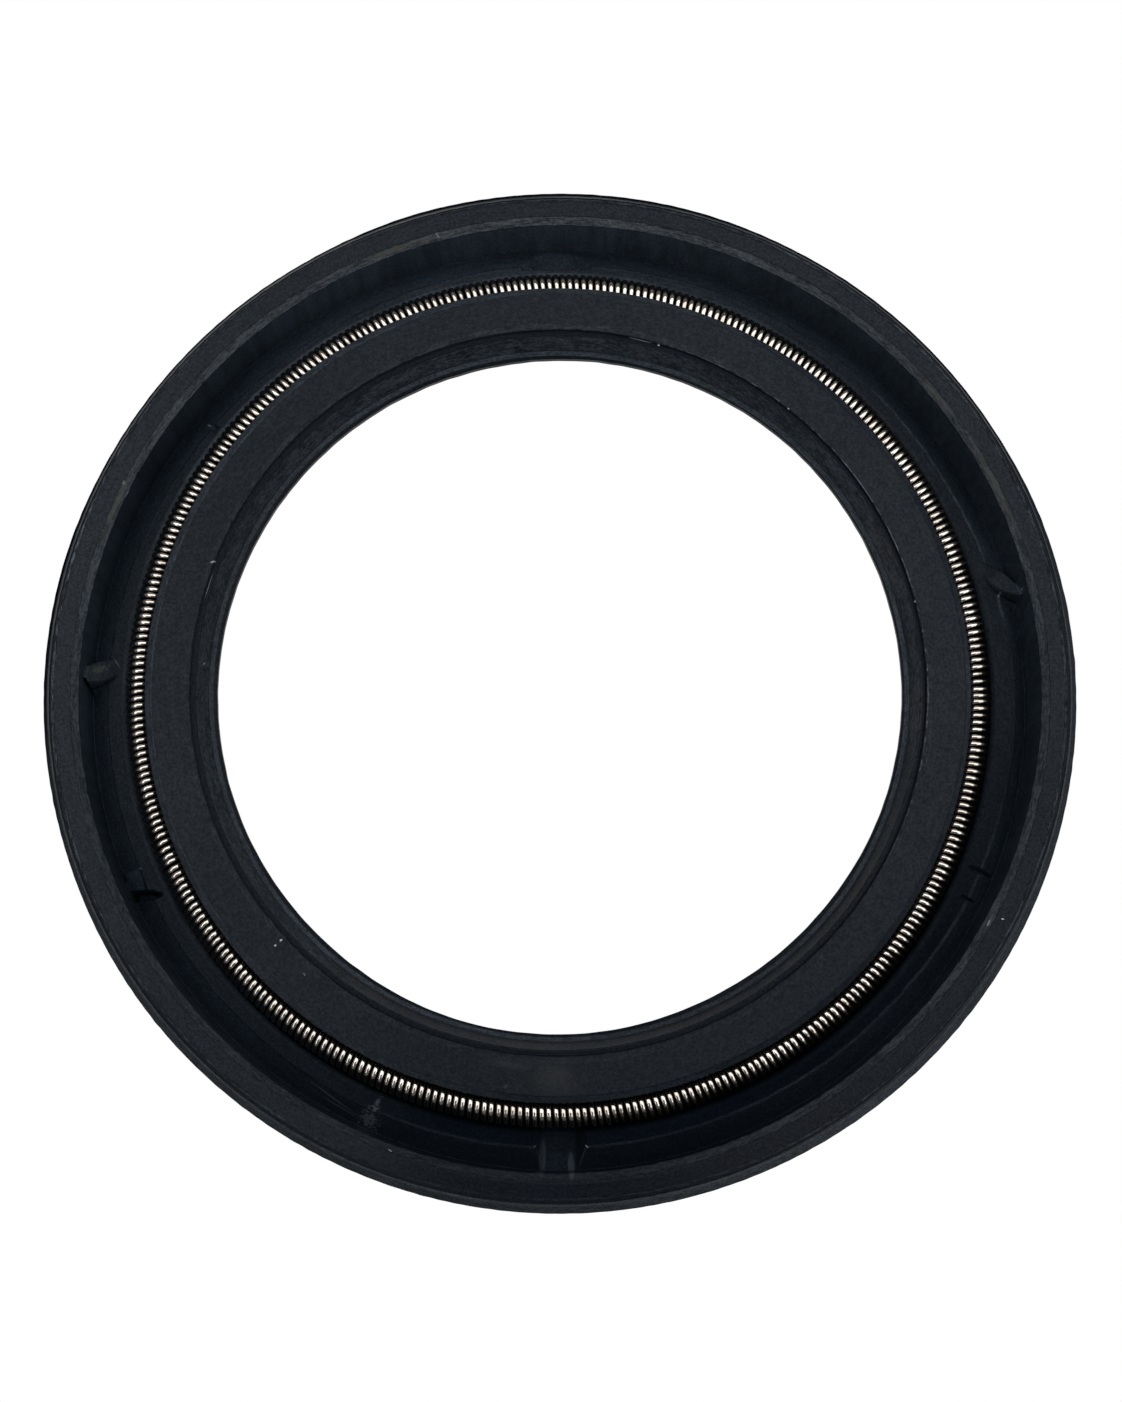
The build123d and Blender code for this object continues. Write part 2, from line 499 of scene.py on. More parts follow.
# ---- Rubber body ----
def lip_shape(radius, height, angle):
    """The lip, off centre above its hinge, with a face edge and a sealing edge that waver slightly."""
    weight = ease((height - WELL_HEIGHT) / (LAND_BOTTOM - WELL_HEIGHT))
    shifted = weight * ease((radius - CONE_FOOT[0]) / (CONE_TOP[0] - CONE_FOOT[0]))
    at_face_edge = near(radius, FACE_INNER, FACE_EDGE_SPREAD)
    radius = radius + at_face_edge * ripple(angle, seed=11, waves=90, size=0.012)
    at_land = near(radius, TRIM_FOOT[0], LAND_SPREAD) * weight
    stray = around(angle, EDGE_STRAY) + ripple(angle, seed=12, waves=50, size=0.008)
    radius = radius + at_land * stray
    points = placed(radius, height, angle)
    points[:, 0] += LIP_SHIFT.x * shifted
    points[:, 1] += LIP_SHIFT.y * shifted
    return points


def ledge_shape(radius, height, angle):
    """The ledge and the well, with a wavering outer corner and the marks of the mould's pins."""
    inside = (radius - LEDGE_INNER[0]) / (LEDGE_OUTER[0] - LEDGE_INNER[0])
    outside = (WELL_INNER - radius) / (WELL_INNER - LEDGE_OUTER[0])
    share = np.clip(np.minimum(inside, outside), 0, 1)
    stray = around(angle, LEDGE_STRAY) + ripple(angle, seed=21, waves=60, size=0.012)
    radius = radius + share * stray
    height = add_webs_and_slits(radius, cut_notches(radius, height, angle), angle)
    wall_lean = (BEVEL_FOOT[0] - WELL_OUTER) / (BEVEL_FOOT[1] - WELL_HEIGHT)
    at_wall = radius > WELL_INNER - WALL_MARGIN
    radius = radius + at_wall * wall_lean * (height - WELL_HEIGHT)
    return placed(radius, height, angle)


def rim_shape(radius, height, angle):
    """The rim, whose edges, chamfer and outside stray from round, with small bumps and nicks."""
    on_edge = ease((SEAM_INNER - radius) / (SEAM_INNER - RIM_INNER))
    on_seam = ease((radius - RIM_INNER) / (SEAM_INNER - RIM_INNER))
    on_seam = on_seam * ease((OUTER_RADIUS - radius) / SEAM_FADE)
    on_wall = ease((radius - CHAMFER_TOP[0]) / (OUTER_RADIUS - CHAMFER_TOP[0]))
    on_bevel = near(radius, RIM_INNER, RIM_EDGE_SPREAD)
    on_bevel = on_bevel * ease((height - BEVEL_RIPPLE_HEIGHT) / BEVEL_RIPPLE_RISE)
    at_foot = near(radius, BEVEL_FOOT[0], BEVEL_FOOT_SPREAD)
    wall_ripple = ripple(angle, seed=32, waves=110, size=0.005)
    bevel_ripple = ripple(angle, seed=33, waves=120, size=0.014)
    foot_ripple = ripple(angle, seed=34, waves=140, size=0.01)
    stray = on_edge * around(angle, BEVEL_STRAY) + on_seam * around(angle, SEAM_STRAY)
    stray += on_wall * around(angle, WALL_STRAY)
    stray += on_seam * ripple(angle, seed=31, waves=160, size=0.007)
    stray += on_wall * (wall_ripple - WALL_SETBACK + bulges(angle, RIM_BUMPS))
    stray += on_bevel * (bevel_ripple + bulges(angle, RIM_NICKS)) + at_foot * foot_ripple
    return placed(np.minimum(radius + stray, OUTER_RADIUS), height, angle)


def make_rubber_body():
    """The whole moulding, from the sealing lip over hinge, ledge and rim to the back."""
    seat = seat_points(SEAT_POINTS)
    lip = rounded(
        (
            (LIP_RADIUS, LAND_BOTTOM, 0.05, 2),
            (LIP_RADIUS, LAND_TOP, 0.06, 2),
            (*TRIM_FOOT, 0.02, 1),
            (*CONE_FOOT, 0.03, 2),
            (*CONE_TOP, 0.12, 3),
            (*CHANNEL_FLOOR, 0.06, 3),
            (FACE_INNER, FACE_HEIGHT, 0.035, 3),
            (FACE_OUTER, FACE_HEIGHT, 0.12, 3),
            (*LIP_EDGE, 0.12, 4),
        ),
        LIP_ROOT,
        seat[0],
    )
    lip += seat
    hinge = rounded(
        (
            (*JAW, 0.4, 3),
            (HINGE_OUTER, WELL_HEIGHT, 0.6, 4),
        ),
        seat[-1],
        (RAMP_FOOT, WELL_HEIGHT),
    )
    ledge = rounded(
        (
            (RAMP_FOOT, WELL_HEIGHT, 0.6, 4),
            (*LEDGE_INNER, 0.3, 4),
        ),
        (HINGE_OUTER, WELL_HEIGHT),
        LEDGE_OUTER,
    )
    ledge += between(LEDGE_FLAT_START, LEDGE_OUTER, LEDGE_POINTS)
    ledge += rounded(((*LEDGE_OUTER, 0.05, 3),), LEDGE_INNER, (WELL_INNER, WELL_HEIGHT))
    ledge += between(LEDGE_OUTER, (WELL_INNER, WELL_HEIGHT), SLOPE_POINTS)
    ledge += rounded(
        (
            (WELL_INNER, WELL_HEIGHT, 0.01, 1),
            (WELL_OUTER, WELL_HEIGHT, 0.01, 1),
        ),
        LEDGE_OUTER,
        BEVEL_FOOT,
    )
    rim = rounded(
        (
            (*BEVEL_FOOT, 0.05, 2),
            (RIM_INNER, RIM_HEIGHT, 0.15, 4),
            (SEAM_INNER, RIM_HEIGHT, 0.05, 2),
            (SEAM_INNER + SEAM_RISE, SEAL_WIDTH, 0.03, 1),
            (SEAM_OUTER, SEAL_WIDTH, 0.03, 1),
            (GAP_RADIUS, RIM_HEIGHT - GAP_DEPTH, 0.02, 1),
            (*CHAMFER_TOP, 0.03, 1),
            (OUTER_RADIUS, CHAMFER_FOOT_HEIGHT, 0.15, 3),
            (OUTER_RADIUS, BACK_CHAMFER_TOP, 0.15, 2),
        ),
        (WELL_OUTER, WELL_HEIGHT),
        (BACK_CHAMFER_RADIUS, 0.0),
    )
    back = rounded(
        (
            (BACK_CHAMFER_RADIUS, 0.0, 0.08, 2),
            (BACK_BORE, 0.0, 0.35, 4),
            (*LIP_ROOT, 0.8, 5),
        ),
        (OUTER_RADIUS, BACK_CHAMFER_TOP),
        (LIP_RADIUS, LAND_BOTTOM),
    )
    bands = (
        (lip, even_angles(LIP_ANGLES), lip_shape),
        (hinge, even_angles(HINGE_ANGLES), lip_shape),
        (ledge, ledge_angles(LEDGE_STEP, LEDGE_MARK_STEP), ledge_shape),
        (rim, even_angles(RIM_ANGLES), rim_shape),
        (back, even_angles(BACK_ANGLES), placed),
    )
    return revolved("rubber_body_moulding", bands)


# ---- Garter spring ----
def turn_places():
    """Where each turn of the wire crosses the ring, in turns, with the strays of a real close-wound coil."""
    random = np.random.default_rng(TURN_SEED)
    turns = np.arange(TURNS, dtype=float)
    angle = turns * 360 / TURNS
    stray = random.normal(0, TURN_STRAY, TURNS)
    for middle, spread, size in ROUGH_TURNS:
        stray += bulge(angle, middle, spread) * random.choice((-1, 1), TURNS) * size
    return turns + stray


def make_coil():
    """The close-wound wire: a helix bent round into a ring."""
    count = TURNS * STEPS_PER_TURN
    station = np.arange(count) / STEPS_PER_TURN
    places = turn_places()
    ends = np.append(places, places[0] + TURNS)
    ring = 2 * math.pi * np.interp(station, np.arange(TURNS + 1), ends) / TURNS
    wind = -2 * math.pi * station
    sunk = np.abs(np.random.default_rng(SINK_SEED).normal(0, TURN_SINK, TURNS))
    depth = np.interp(station, np.arange(TURNS + 1), np.append(sunk, sunk[0]))
    outward = np.stack((np.cos(ring), np.sin(ring), np.zeros(count)), axis=1)
    up = np.array((0.0, 0.0, 1.0))
    spoke = outward * np.cos(wind)[:, None] + up * np.sin(wind)[:, None]
    centre = outward * RING_RADIUS + up * SPRING_HEIGHT
    centre += spoke * (COIL_RADIUS - WIRE_RADIUS - depth)[:, None]
    tangent = np.roll(centre, -1, axis=0) - np.roll(centre, 1, axis=0)
    tangent /= np.linalg.norm(tangent, axis=1)[:, None]
    side = np.cross(tangent, spoke)
    points = []
    for index in range(WIRE_SIDES):
        turn = 2 * math.pi * index / WIRE_SIDES
        points.append(centre + WIRE_RADIUS * (spoke * math.cos(turn) + side * math.sin(turn)))
    points = np.stack(points, axis=1).reshape(-1, 3)
    points[:, 0] += LIP_SHIFT.x
    points[:, 1] += LIP_SHIFT.y
    faces = []
    for step in range(count):
        here = step * WIRE_SIDES
        there = (step + 1) % count * WIRE_SIDES
        for index in range(WIRE_SIDES):
            after = (index + 1) % WIRE_SIDES
            faces.append((here + index, here + after, there + after, there + index))
    return make_object("garter_spring_coil", points, faces)


# ---- Shader nodes ----
def node(tree, kind, values=(), **settings):
    """A new node: `values` fills its inputs by name or number, and sockets among them are linked."""
    made = tree.nodes.new("ShaderNode" + kind)
    for key, value in settings.items():
        setattr(made, key, value)
    for key, value in dict(values).items():
        if isinstance(value, bpy.types.NodeSocket):
            tree.links.new(value, made.inputs[key])
        else:
            made.inputs[key].default_value = value
    return made


def calc(tree, operation, *values):
    return node(tree, "Math", enumerate(values), operation=operation).outputs[0]


def vector_calc(tree, operation, output, **values):
    numbers = {"first": 0, "second": 1, "scale": 3}
    filled = {numbers[key]: value for key, value in values.items()}
    return node(tree, "VectorMath", filled, operation=operation).outputs[output]


def mapped(tree, value, low, high, to_low=0.0, to_high=1.0):
    """A value brought smoothly from one range to another and held at its ends."""
    values = {"Value": value, 1: low, 2: high, 3: to_low, 4: to_high}
    return node(tree, "MapRange", values, interpolation_type="SMOOTHSTEP").outputs[0]


def within(tree, value, low, high, soft):
    """1 where a value lies between two limits."""
    enter = mapped(tree, value, low - soft, low + soft)
    leave = mapped(tree, value, high - soft, high + soft, 1.0, 0.0)
    return calc(tree, "MULTIPLY", enter, leave)


def noise(tree, vector, scale, detail=2.0, rough=0.5):
    values = {"Vector": vector, "Scale": scale, "Detail": detail, "Roughness": rough}
    return node(tree, "TexNoise", values).outputs[0]


def mix_colour(tree, share, first, second):
    return node(tree, "Mix", {0: share, 6: first, 7: second}, data_type="RGBA").outputs[2]


def ring_coordinates(tree):
    """The place in millimetres, the distance from the axis, the height, and the unit vector outward."""
    place = node(tree, "TexCoord").outputs["Object"]
    place = vector_calc(tree, "SCALE", 0, first=place, scale=1 / MM)
    flat = vector_calc(tree, "MULTIPLY", 0, first=place, second=(1, 1, 0))
    radius = vector_calc(tree, "LENGTH", 1, first=flat)
    height = node(tree, "SeparateXYZ", {0: place}).outputs[2]
    outward = vector_calc(tree, "NORMALIZE", 0, first=flat)
    return place, radius, height, outward


def streaks(tree, outward, radius, along, across, detail=3.0):
    """Noise drawn out along the ring: `along` and `across` are its changes per radian and per millimetre."""
    lifted = node(tree, "CombineXYZ", {2: calc(tree, "MULTIPLY", radius, across)}).outputs[0]
    spread = vector_calc(tree, "SCALE", 0, first=outward, scale=along)
    return noise(tree, vector_calc(tree, "ADD", 0, first=spread, second=lifted), 1.0, detail)


def turn_of(tree, outward):
    """The angle round the ring as a share of a whole turn."""
    split = node(tree, "SeparateXYZ", {0: outward})
    turn = calc(tree, "ARCTAN2", split.outputs[1], split.outputs[0])
    return calc(tree, "FRACT", calc(tree, "DIVIDE", turn, 2 * math.pi))


def by_angle(tree, turn, marks):
    """A value that runs smoothly round the ring through marks of (angle, value from 0 to 1)."""
    (first, first_value), (last, last_value) = marks[0], marks[-1]
    seam = last_value + (first_value - last_value) * (360 - last) / (360 - last + first)
    stops = [(0, seam), *marks, (360, seam)] if first else [*marks, (360, first_value)]
    ramp = node(tree, "ValToRGB", {0: turn})
    ramp.color_ramp.interpolation = "EASE"
    points = ramp.color_ramp.elements
    points[0].position = 0
    points[1].position = 1
    for angle, value in stops[1:-1]:
        points.new(angle / 360)
    for point, (angle, value) in zip(points, stops):
        point.color = (1, 1, 1, value)
    return ramp.outputs["Alpha"]


def new_material(name):
    material = bpy.data.materials.new(name)
    material.use_nodes = True
    return material, material.node_tree, material.node_tree.nodes["Principled BSDF"]


# ---- Bloom and dust on the rubber, mixed with painted light and shade: in most zones the share changes round the ring,
# so that the zone is painted lighter at the top and darker towards the bottom, and some zones hold painted
# highlights.
# A zone's radii and heights, how softly it ends, how streaked it is (0 even, 1 or more in streaks), and
# marks of (angle, share of dust and painted light) ----
DUST_AND_LIGHT_ZONES = (
    (
        "trim",
        (21.80, 22.07),
        (5.9, 8.0),
        0.03,
        0.4,
        ((0, 0.31), (45, 0.25), (90, 0.25), (120, 0.22), (160, 0.17), (240, 0.24), (300, 0.16), (345, 0.27)),
    ),
    (
        "cone",
        (22.10, 22.72),
        (5.9, 8.0),
        0.03,
        1.1,
        ((0, 0.09), (30, 0.12), (120, 0.12), (160, 0.09), (225, 0.08), (245, 0.02), (330, 0.03)),
    ),
    (
        "face",
        (23.05, 25.45),
        (7.4, 8.0),
        0.05,
        0.3,
        (
            (0, 0.08),
            (90, 0.08),
            (150, 0.055),
            (180, 0.08),
            (225, 0.05),
            (255, 0.02),
            (300, 0.035),
            (345, 0.06),
        ),
    ),
    (
        "face edge",
        (23.10, 23.50),
        (7.4, 8.0),
        0.08,
        0.9,
        ((0, 0.08), (20, 0.06), (90, 0.12), (135, 0.10), (210, 0.07), (255, 0.05), (315, 0.05)),
    ),
    # Painted glints along the channel's edge.
    (
        "face corner",
        (23.03, 23.10),
        (7.52, 7.62),
        0.02,
        3.0,
        (
            (0, 0.20),
            (60, 0.20),
            (80, 0.16),
            (100, 0.0),
            (135, 0.22),
            (170, 0.30),
            (215, 0.24),
            (240, 0.0),
            (320, 0.0),
            (345, 0.16),
        ),
    ),
    # Painted light: the lip's bevel is painted lighter at the top and sides and darker towards the bottom.
    (
        "lip bevel",
        (25.47, 25.95),
        (6.8, 8.0),
        0.05,
        0.4,
        (
            (0, 0.17),
            (20, 0.08),
            (45, 0.11),
            (90, 0.22),
            (165, 0.24),
            (200, 0.18),
            (240, 0.15),
            (270, 0.08),
            (315, 0.03),
            (335, 0.06),
        ),
    ),
    (
        "ledge inside",
        (27.3, 27.95),
        (4.29, 4.7),
        0.1,
        0.3,
        (
            (0, 0.07),
            (45, 0.14),
            (75, 0.24),
            (90, 0.33),
            (135, 0.42),
            (150, 0.33),
            (165, 0.22),
            (210, 0.15),
            (240, 0.05),
            (255, 0.0),
            (290, 0.0),
            (330, 0.04),
        ),
    ),
    (
        "ledge outside",
        (27.8, 29.4),
        (4.29, 4.7),
        0.01,
        0.3,
        (
            (0, 0.11),
            (45, 0.11),
            (105, 0.18),
            (150, 0.11),
            (180, 0.13),
            (210, 0.09),
            (240, 0.04),
            (255, 0.0),
            (325, 0.0),
            (345, 0.06),
        ),
    ),
    # A painted highlight along the ledge's outer edge.
    (
        "ledge corner",
        (28.3, 29.3),
        (4.25, 4.33),
        0.01,
        0.5,
        (
            (0, 0.0),
            (16, 0.30),
            (40, 0.25),
            (50, 0.0),
            (235, 0.0),
            (250, 0.06),
            (285, 0.06),
            (300, 0.10),
            (335, 0.15),
        ),
    ),
    # Painted sheen on the tops of the webs.
    ("webs", (28.0, 29.9), (4.62, 7.5), 0.02, 0.3, ((0, 0.18),)),
    # Painted shade: the rim is darker towards the bottom.
    (
        "rim",
        (30.3, 31.5),
        (7.95, 8.1),
        0.02,
        0.3,
        (
            (0, 0.09),
            (120, 0.09),
            (165, 0.12),
            (195, 0.10),
            (225, 0.06),
            (245, 0.05),
            (258, 0.0),
            (285, 0.01),
            (345, 0.05),
        ),
    ),
    (
        "seam",
        (31.53, 31.68),
        (7.95, 8.1),
        0.03,
        1.7,
        (
            (0, 0.12),
            (30, 0.15),
            (120, 0.12),
            (150, 0.22),
            (165, 0.28),
            (195, 0.16),
            (225, 0.10),
            (255, 0.03),
            (280, 0.04),
            (315, 0.12),
        ),
    ),
)
# The bloom deep in the well, which is bluer, mixed with painted light and shade: the wall is painted lit
# around the top and darker towards the bottom, and the slope is painted darker towards the bottom and beside
# the shelf and the slit near 205 degrees.
WELL_ZONES = (
    (
        "slope and floor",
        (27.55, 29.95),
        (2.5, 4.25),
        0.02,
        0.25,
        (
            (0, 0.28),
            (15, 0.33),
            (27, 0.14),
            (60, 0.16),
            (90, 0.14),
            (105, 0.19),
            (122, 0.19),
            (138, 0.13),
            (180, 0.22),
            (197, 0.19),
            # From here to 208 degrees the slope is painted darker: shade beside the shelf and in the slit.
            (202.3, 0.17),
            (203.2, 0.11),
            (205.0, 0.11),
            (205.6, 0.08),
            (207.2, 0.08),
            (208.0, 0.14),
            (215, 0.13),
            (252, 0.05),
            (285, 0.04),
            (315, 0.11),
            (345, 0.23),
        ),
    ),
    # Painted light: the wall is lit around the top and shaded towards the bottom.
    (
        "wall",
        (29.85, 30.3),
        (2.95, 7.5),
        0.02,
        0.25,
        (
            (0, 0.16),
            (15, 0.19),
            (43, 0.23),
            (90, 0.36),
            (120, 0.27),
            (138, 0.16),
            (150, 0.10),
            (180, 0.15),
            (195, 0.08),
            (225, 0.10),
            (255, 0.04),
            (285, 0.03),
            (315, 0.09),
            (345, 0.12),
        ),
    ),
)
# Worn rubber, which is greyer, mixed with painted light: the rim's bevel is painted lighter at the top and
# darker towards the bottom, and the chamfer holds a painted reflection of the pale floor, strongest towards
# the bottom.
WEAR_AND_LIGHT_ZONES = (
    # Painted light: the rim's bevel is painted lighter at the top and darker towards the bottom.
    (
        "rim bevel",
        (29.8, 31.0),
        (7.56, 7.93),
        0.02,
        0.6,
        (
            (0, 0.22),
            (15, 0.33),
            (45, 0.27),
            (70, 0.35),
            (90, 0.36),
            (120, 0.30),
            (165, 0.25),
            (195, 0.16),
            (225, 0.13),
            (270, 0.07),
            (300, 0.16),
            (330, 0.24),
        ),
    ),
    # A painted reflection of the pale floor on the chamfer, strongest towards the bottom.
    (
        "chamfer",
        (31.9, 32.6),
        (6.7, 7.95),
        0.05,
        0.3,
        (
            (0, 0.21),
            (20, 0.12),
            (45, 0.02),
            (165, 0.0),
            (180, 0.03),
            (195, 0.19),
            (210, 0.28),
            (270, 0.28),
            (290, 0.34),
            (330, 0.26),
        ),
    ),
    ("outside", (31.8, 32.7), (-0.5, 6.7), 0.1, 0.2, ((0, 0.11), (80, 0.15), (160, 0.10), (250, 0.14))),
    ("back", (23.8, 32.0), (-0.5, 0.5), 0.1, 0.7, ((0, 0.12), (110, 0.16), (230, 0.11))),
)
# Where the rubber is duller than elsewhere: as above, with the share of its gloss that is gone.
DULL_ZONES = (
    ("cone", (22.10, 22.72), (5.9, 8.0), 0.05, 0.3, ((0, 0.25),)),
    (
        "ledge",
        (27.2, 29.9),
        (2.6, 4.7),
        0.1,
        0.1,
        ((0, 0.6), (235, 0.6), (258, 0.9), (300, 0.85), (335, 0.7)),
    ),
    ("rim", (30.7, 31.8), (7.8, 8.1), 0.1, 0.4, ((0, 0.0), (245, 0.0), (262, 0.35), (275, 0.5), (295, 0.0))),
)
# Scuffs, crumbs and scratches, and painted highlights on edges and corners and painted glints in the
# channel: (angle, radius) of the middle, half the length and half the width, the turn of the length from the
# ring's direction, how ragged the edge is, and the share of colour
PALE_MARKS = (
    ("crumb over the leaf", (12.1, 30.05), 0.05, 0.05, 0, 0.0, 0.4),
    ("crumb beside the leaf", (12.5, 28.91), 0.14, 0.07, -30, 0.5, 0.35),
    # A painted highlight along the web's edge.
    ("ribbon web's edge", (175.8, 28.3), 0.42, 0.03, 40, 0.3, 0.2),
    # A painted highlight on the shelf's corner.
    ("shelf's inner corner", (202.7, 28.67), 0.12, 0.04, 60, 0.0, 0.2),
    ("notch floor, first side", (267.7, 29.1), 0.25, 1.30, 0, 0.5, 0.05),
    ("notch floor, second side", (271.2, 29.6), 0.22, 0.90, 0, 0.5, 0.07),
    # Painted highlights on the corners of the notch's mouth and along the edges that lead to it.
    ("notch mouth, first side", (266.7, 28.5), 0.14, 0.05, 40, 0.0, 0.2),
    ("notch mouth, second side", (273.2, 28.5), 0.14, 0.06, -50, 0.0, 0.3),
    ("line to the mouth, first side", (267.3, 29.15), 0.70, 0.02, -68, 0.0, 0.08),
    ("line to the mouth, second side", (272.6, 29.15), 0.70, 0.02, 68, 0.0, 0.12),
    ("torn patch", (245.9, 29.3), 0.45, 0.42, 0, 5.0, 0.13),
    ("torn patch's tail", (246.1, 28.4), 0.14, 0.45, 0, 4.0, 0.11),
    ("torn lines", (240.6, 29.1), 1.8, 0.05, -7, 0.8, 0.10),
    ("second torn line", (241.8, 29.4), 1.4, 0.04, -3, 0.8, 0.08),
    ("mark by the small notch", (141.8, 28.88), 0.05, 0.16, 0, 0.3, 0.3),
    ("mark before the flat notch", (87.4, 28.47), 0.15, 0.06, 30, 0.5, 0.12),
    ("mark after the flat notch", (93.5, 28.44), 0.15, 0.06, -30, 0.5, 0.12),
    ("diamond", (262.3, 25.05), 0.16, 0.13, 40, 0.2, 0.04),
    ("smear", (269.1, 24.3), 1.05, 0.85, -20, 3.5, 0.03),
    ("smudges before the smear", (262.5, 23.7), 1.3, 0.20, 0, 3.5, 0.03),
    ("upper crumb on the face", (222.7, 23.85), 0.06, 0.09, 0, 0.0, 1.0),
    ("lower crumb on the face", (222.7, 23.38), 0.07, 0.11, 0, 0.0, 1.0),
    ("crumb on the rim", (331.5, 30.95), 0.05, 0.10, 20, 0.0, 1.0),
    ("crumb on the bevel", (330.4, 30.32), 0.25, 0.06, 0, 0.5, 0.5),
    ("scuff at the channel", (159.9, 23.20), 0.18, 0.06, -50, 0.3, 0.7),
    # A painted glint in the channel.
    ("line at the channel", (163.7, 22.98), 0.9, 0.02, 0, 0.8, 0.4),
    ("crumb at the channel, right", (50.5, 23.05), 0.10, 0.04, 0, 0.0, 0.8),
    ("crumb at the channel, top", (73.7, 23.0), 0.08, 0.06, 0, 0.0, 1.0),
    # A painted glint in the channel.
    ("line at the channel, top", (76.5, 23.02), 0.8, 0.02, 0, 0.6, 0.5),
    ("crumb at the channel, first", (13.2, 23.0), 0.08, 0.05, 0, 0.0, 0.7),
    ("scratch on the cone", (175.9, 22.40), 0.12, 0.05, -30, 0.4, 0.3),
    ("crumbs on the bevel", (154.7, 30.40), 0.22, 0.06, 0, 3.0, 0.25),
    ("scratch on the bevel", (250.1, 30.45), 0.15, 0.04, -15, 0.0, 0.5),
    ("scratch on the face", (228.8, 23.86), 0.12, 0.04, -20, 0.3, 0.3),
    ("nick in the bevel", (104.7, 30.30), 0.20, 0.05, -65, 0.4, 0.3),
)
TAN_MARKS = (
    ("first on the bevel", (24.5, 30.40), 3.0, 0.12, 0, 3.2, 0.45),
    ("second on the bevel", (38.0, 30.40), 1.8, 0.11, 0, 3.2, 0.45),
    ("third on the bevel", (109.5, 30.24), 2.0, 0.12, 0, 3.2, 0.45),
    ("fourth on the bevel", (157.5, 30.28), 1.8, 0.12, 0, 3.2, 0.45),
    ("on the ribbon web", (176.9, 29.2), 0.45, 0.18, -64, 3.0, 0.5),
)
CLEAN_RUBBER = (0.0030, 0.0050, 0.0085, 1)
DUST_AND_LIGHT = (0.100, 0.120, 0.145, 1)
WELL_BLOOM_AND_LIGHT = (0.110, 0.150, 0.202, 1)
WEAR_AND_LIGHT = (0.112, 0.124, 0.139, 1)
PALE = (0.36, 0.38, 0.39, 1)
TAN = (0.082, 0.082, 0.064, 1)
GLOSS = 0.08
# The gloss dies out towards the chamfer between these radii and these heights; the chamfer's reflection of
# the floor is painted into its colour instead.
CHAMFER_RADII = (31.7, 32.1)
CHAMFER_HEIGHTS = (6.5, 6.8)
RUBBER_ROUGHNESS = (0.38, 0.5)
RELIEF_DEPTH = 0.012
# Most values of a noise lie between the first two, and those of the mixed streaks lie closer together.
NOISE_SPAN = (0.3, 0.7)
STREAK_SPAN = (0.36, 0.64)
# A mark keeps its colour up to the first share of its size, and has lost it at the second.
MARK_FADE = (0.6, 1.1)
# Marks reach through every height.
MARK_HEIGHT = 1000.0

# ---- Metal ----
BRIGHT_WIRE = (0.64, 0.60, 0.55, 1)
STAINED_WIRE = (0.46, 0.40, 0.34, 1)
OIL_AND_SHADE = (0.012, 0.010, 0.008, 1)
# The wire is bright down to the first depth below the coil's outside, and below the second it is dark with
# oil and painted shade.
CREST_DEPTH = 0.035
OIL_AND_SHADE_DEPTH = 0.085
WIRE_ROUGHNESS = (0.07, 0.13)
OIL_ROUGHNESS = 0.6
DARK_STEEL = (0.38, 0.38, 0.39, 1)
PALE_STEEL = (0.46, 0.46, 0.47, 1)
STEEL_ROUGHNESS = (0.34, 0.48)


# ---- Materials ----
def zone_share(tree, zones, angle, radius, height, streaked):
    """The share at a place of what a list of zones holds, such as dust."""
    total = None
    for _, radii, heights, soft, streaky, marks in zones:
        across = within(tree, radius, *radii, soft)
        upward = within(tree, height, *heights, soft)
        here = calc(tree, "MULTIPLY", across, upward)
        amount = calc(tree, "MULTIPLY", here, by_angle(tree, angle, marks))
        broken = mapped(tree, streaked, *STREAK_SPAN, 1.0 - streaky, 1.0 + streaky)
        amount = calc(tree, "MULTIPLY", amount, broken)
        total = amount if total is None else calc(tree, "MAXIMUM", total, amount)
    return total


def mark_share(tree, marks, place, grain):
    """The share at a place of what a list of small marks holds."""
    total = None
    for _, (angle, radius), half_length, half_width, turn, ragged, share in marks:
        spoke = math.radians(angle)
        values = {
            "Vector": place,
            "Location": (radius * math.cos(spoke), radius * math.sin(spoke), 0.0),
            "Rotation": (0.0, 0.0, spoke + math.pi / 2 + math.radians(turn)),
            "Scale": (half_length, half_width, MARK_HEIGHT),
        }
        inside = node(tree, "Mapping", values, vector_type="TEXTURE").outputs[0]
        away = vector_calc(tree, "LENGTH", 1, first=inside)
        frayed = calc(tree, "MULTIPLY", calc(tree, "SUBTRACT", grain, 0.5), 2 * ragged)
        amount = mapped(tree, calc(tree, "ADD", away, frayed), *MARK_FADE, share, 0.0)
        total = amount if total is None else calc(tree, "MAXIMUM", total, amount)
    return total


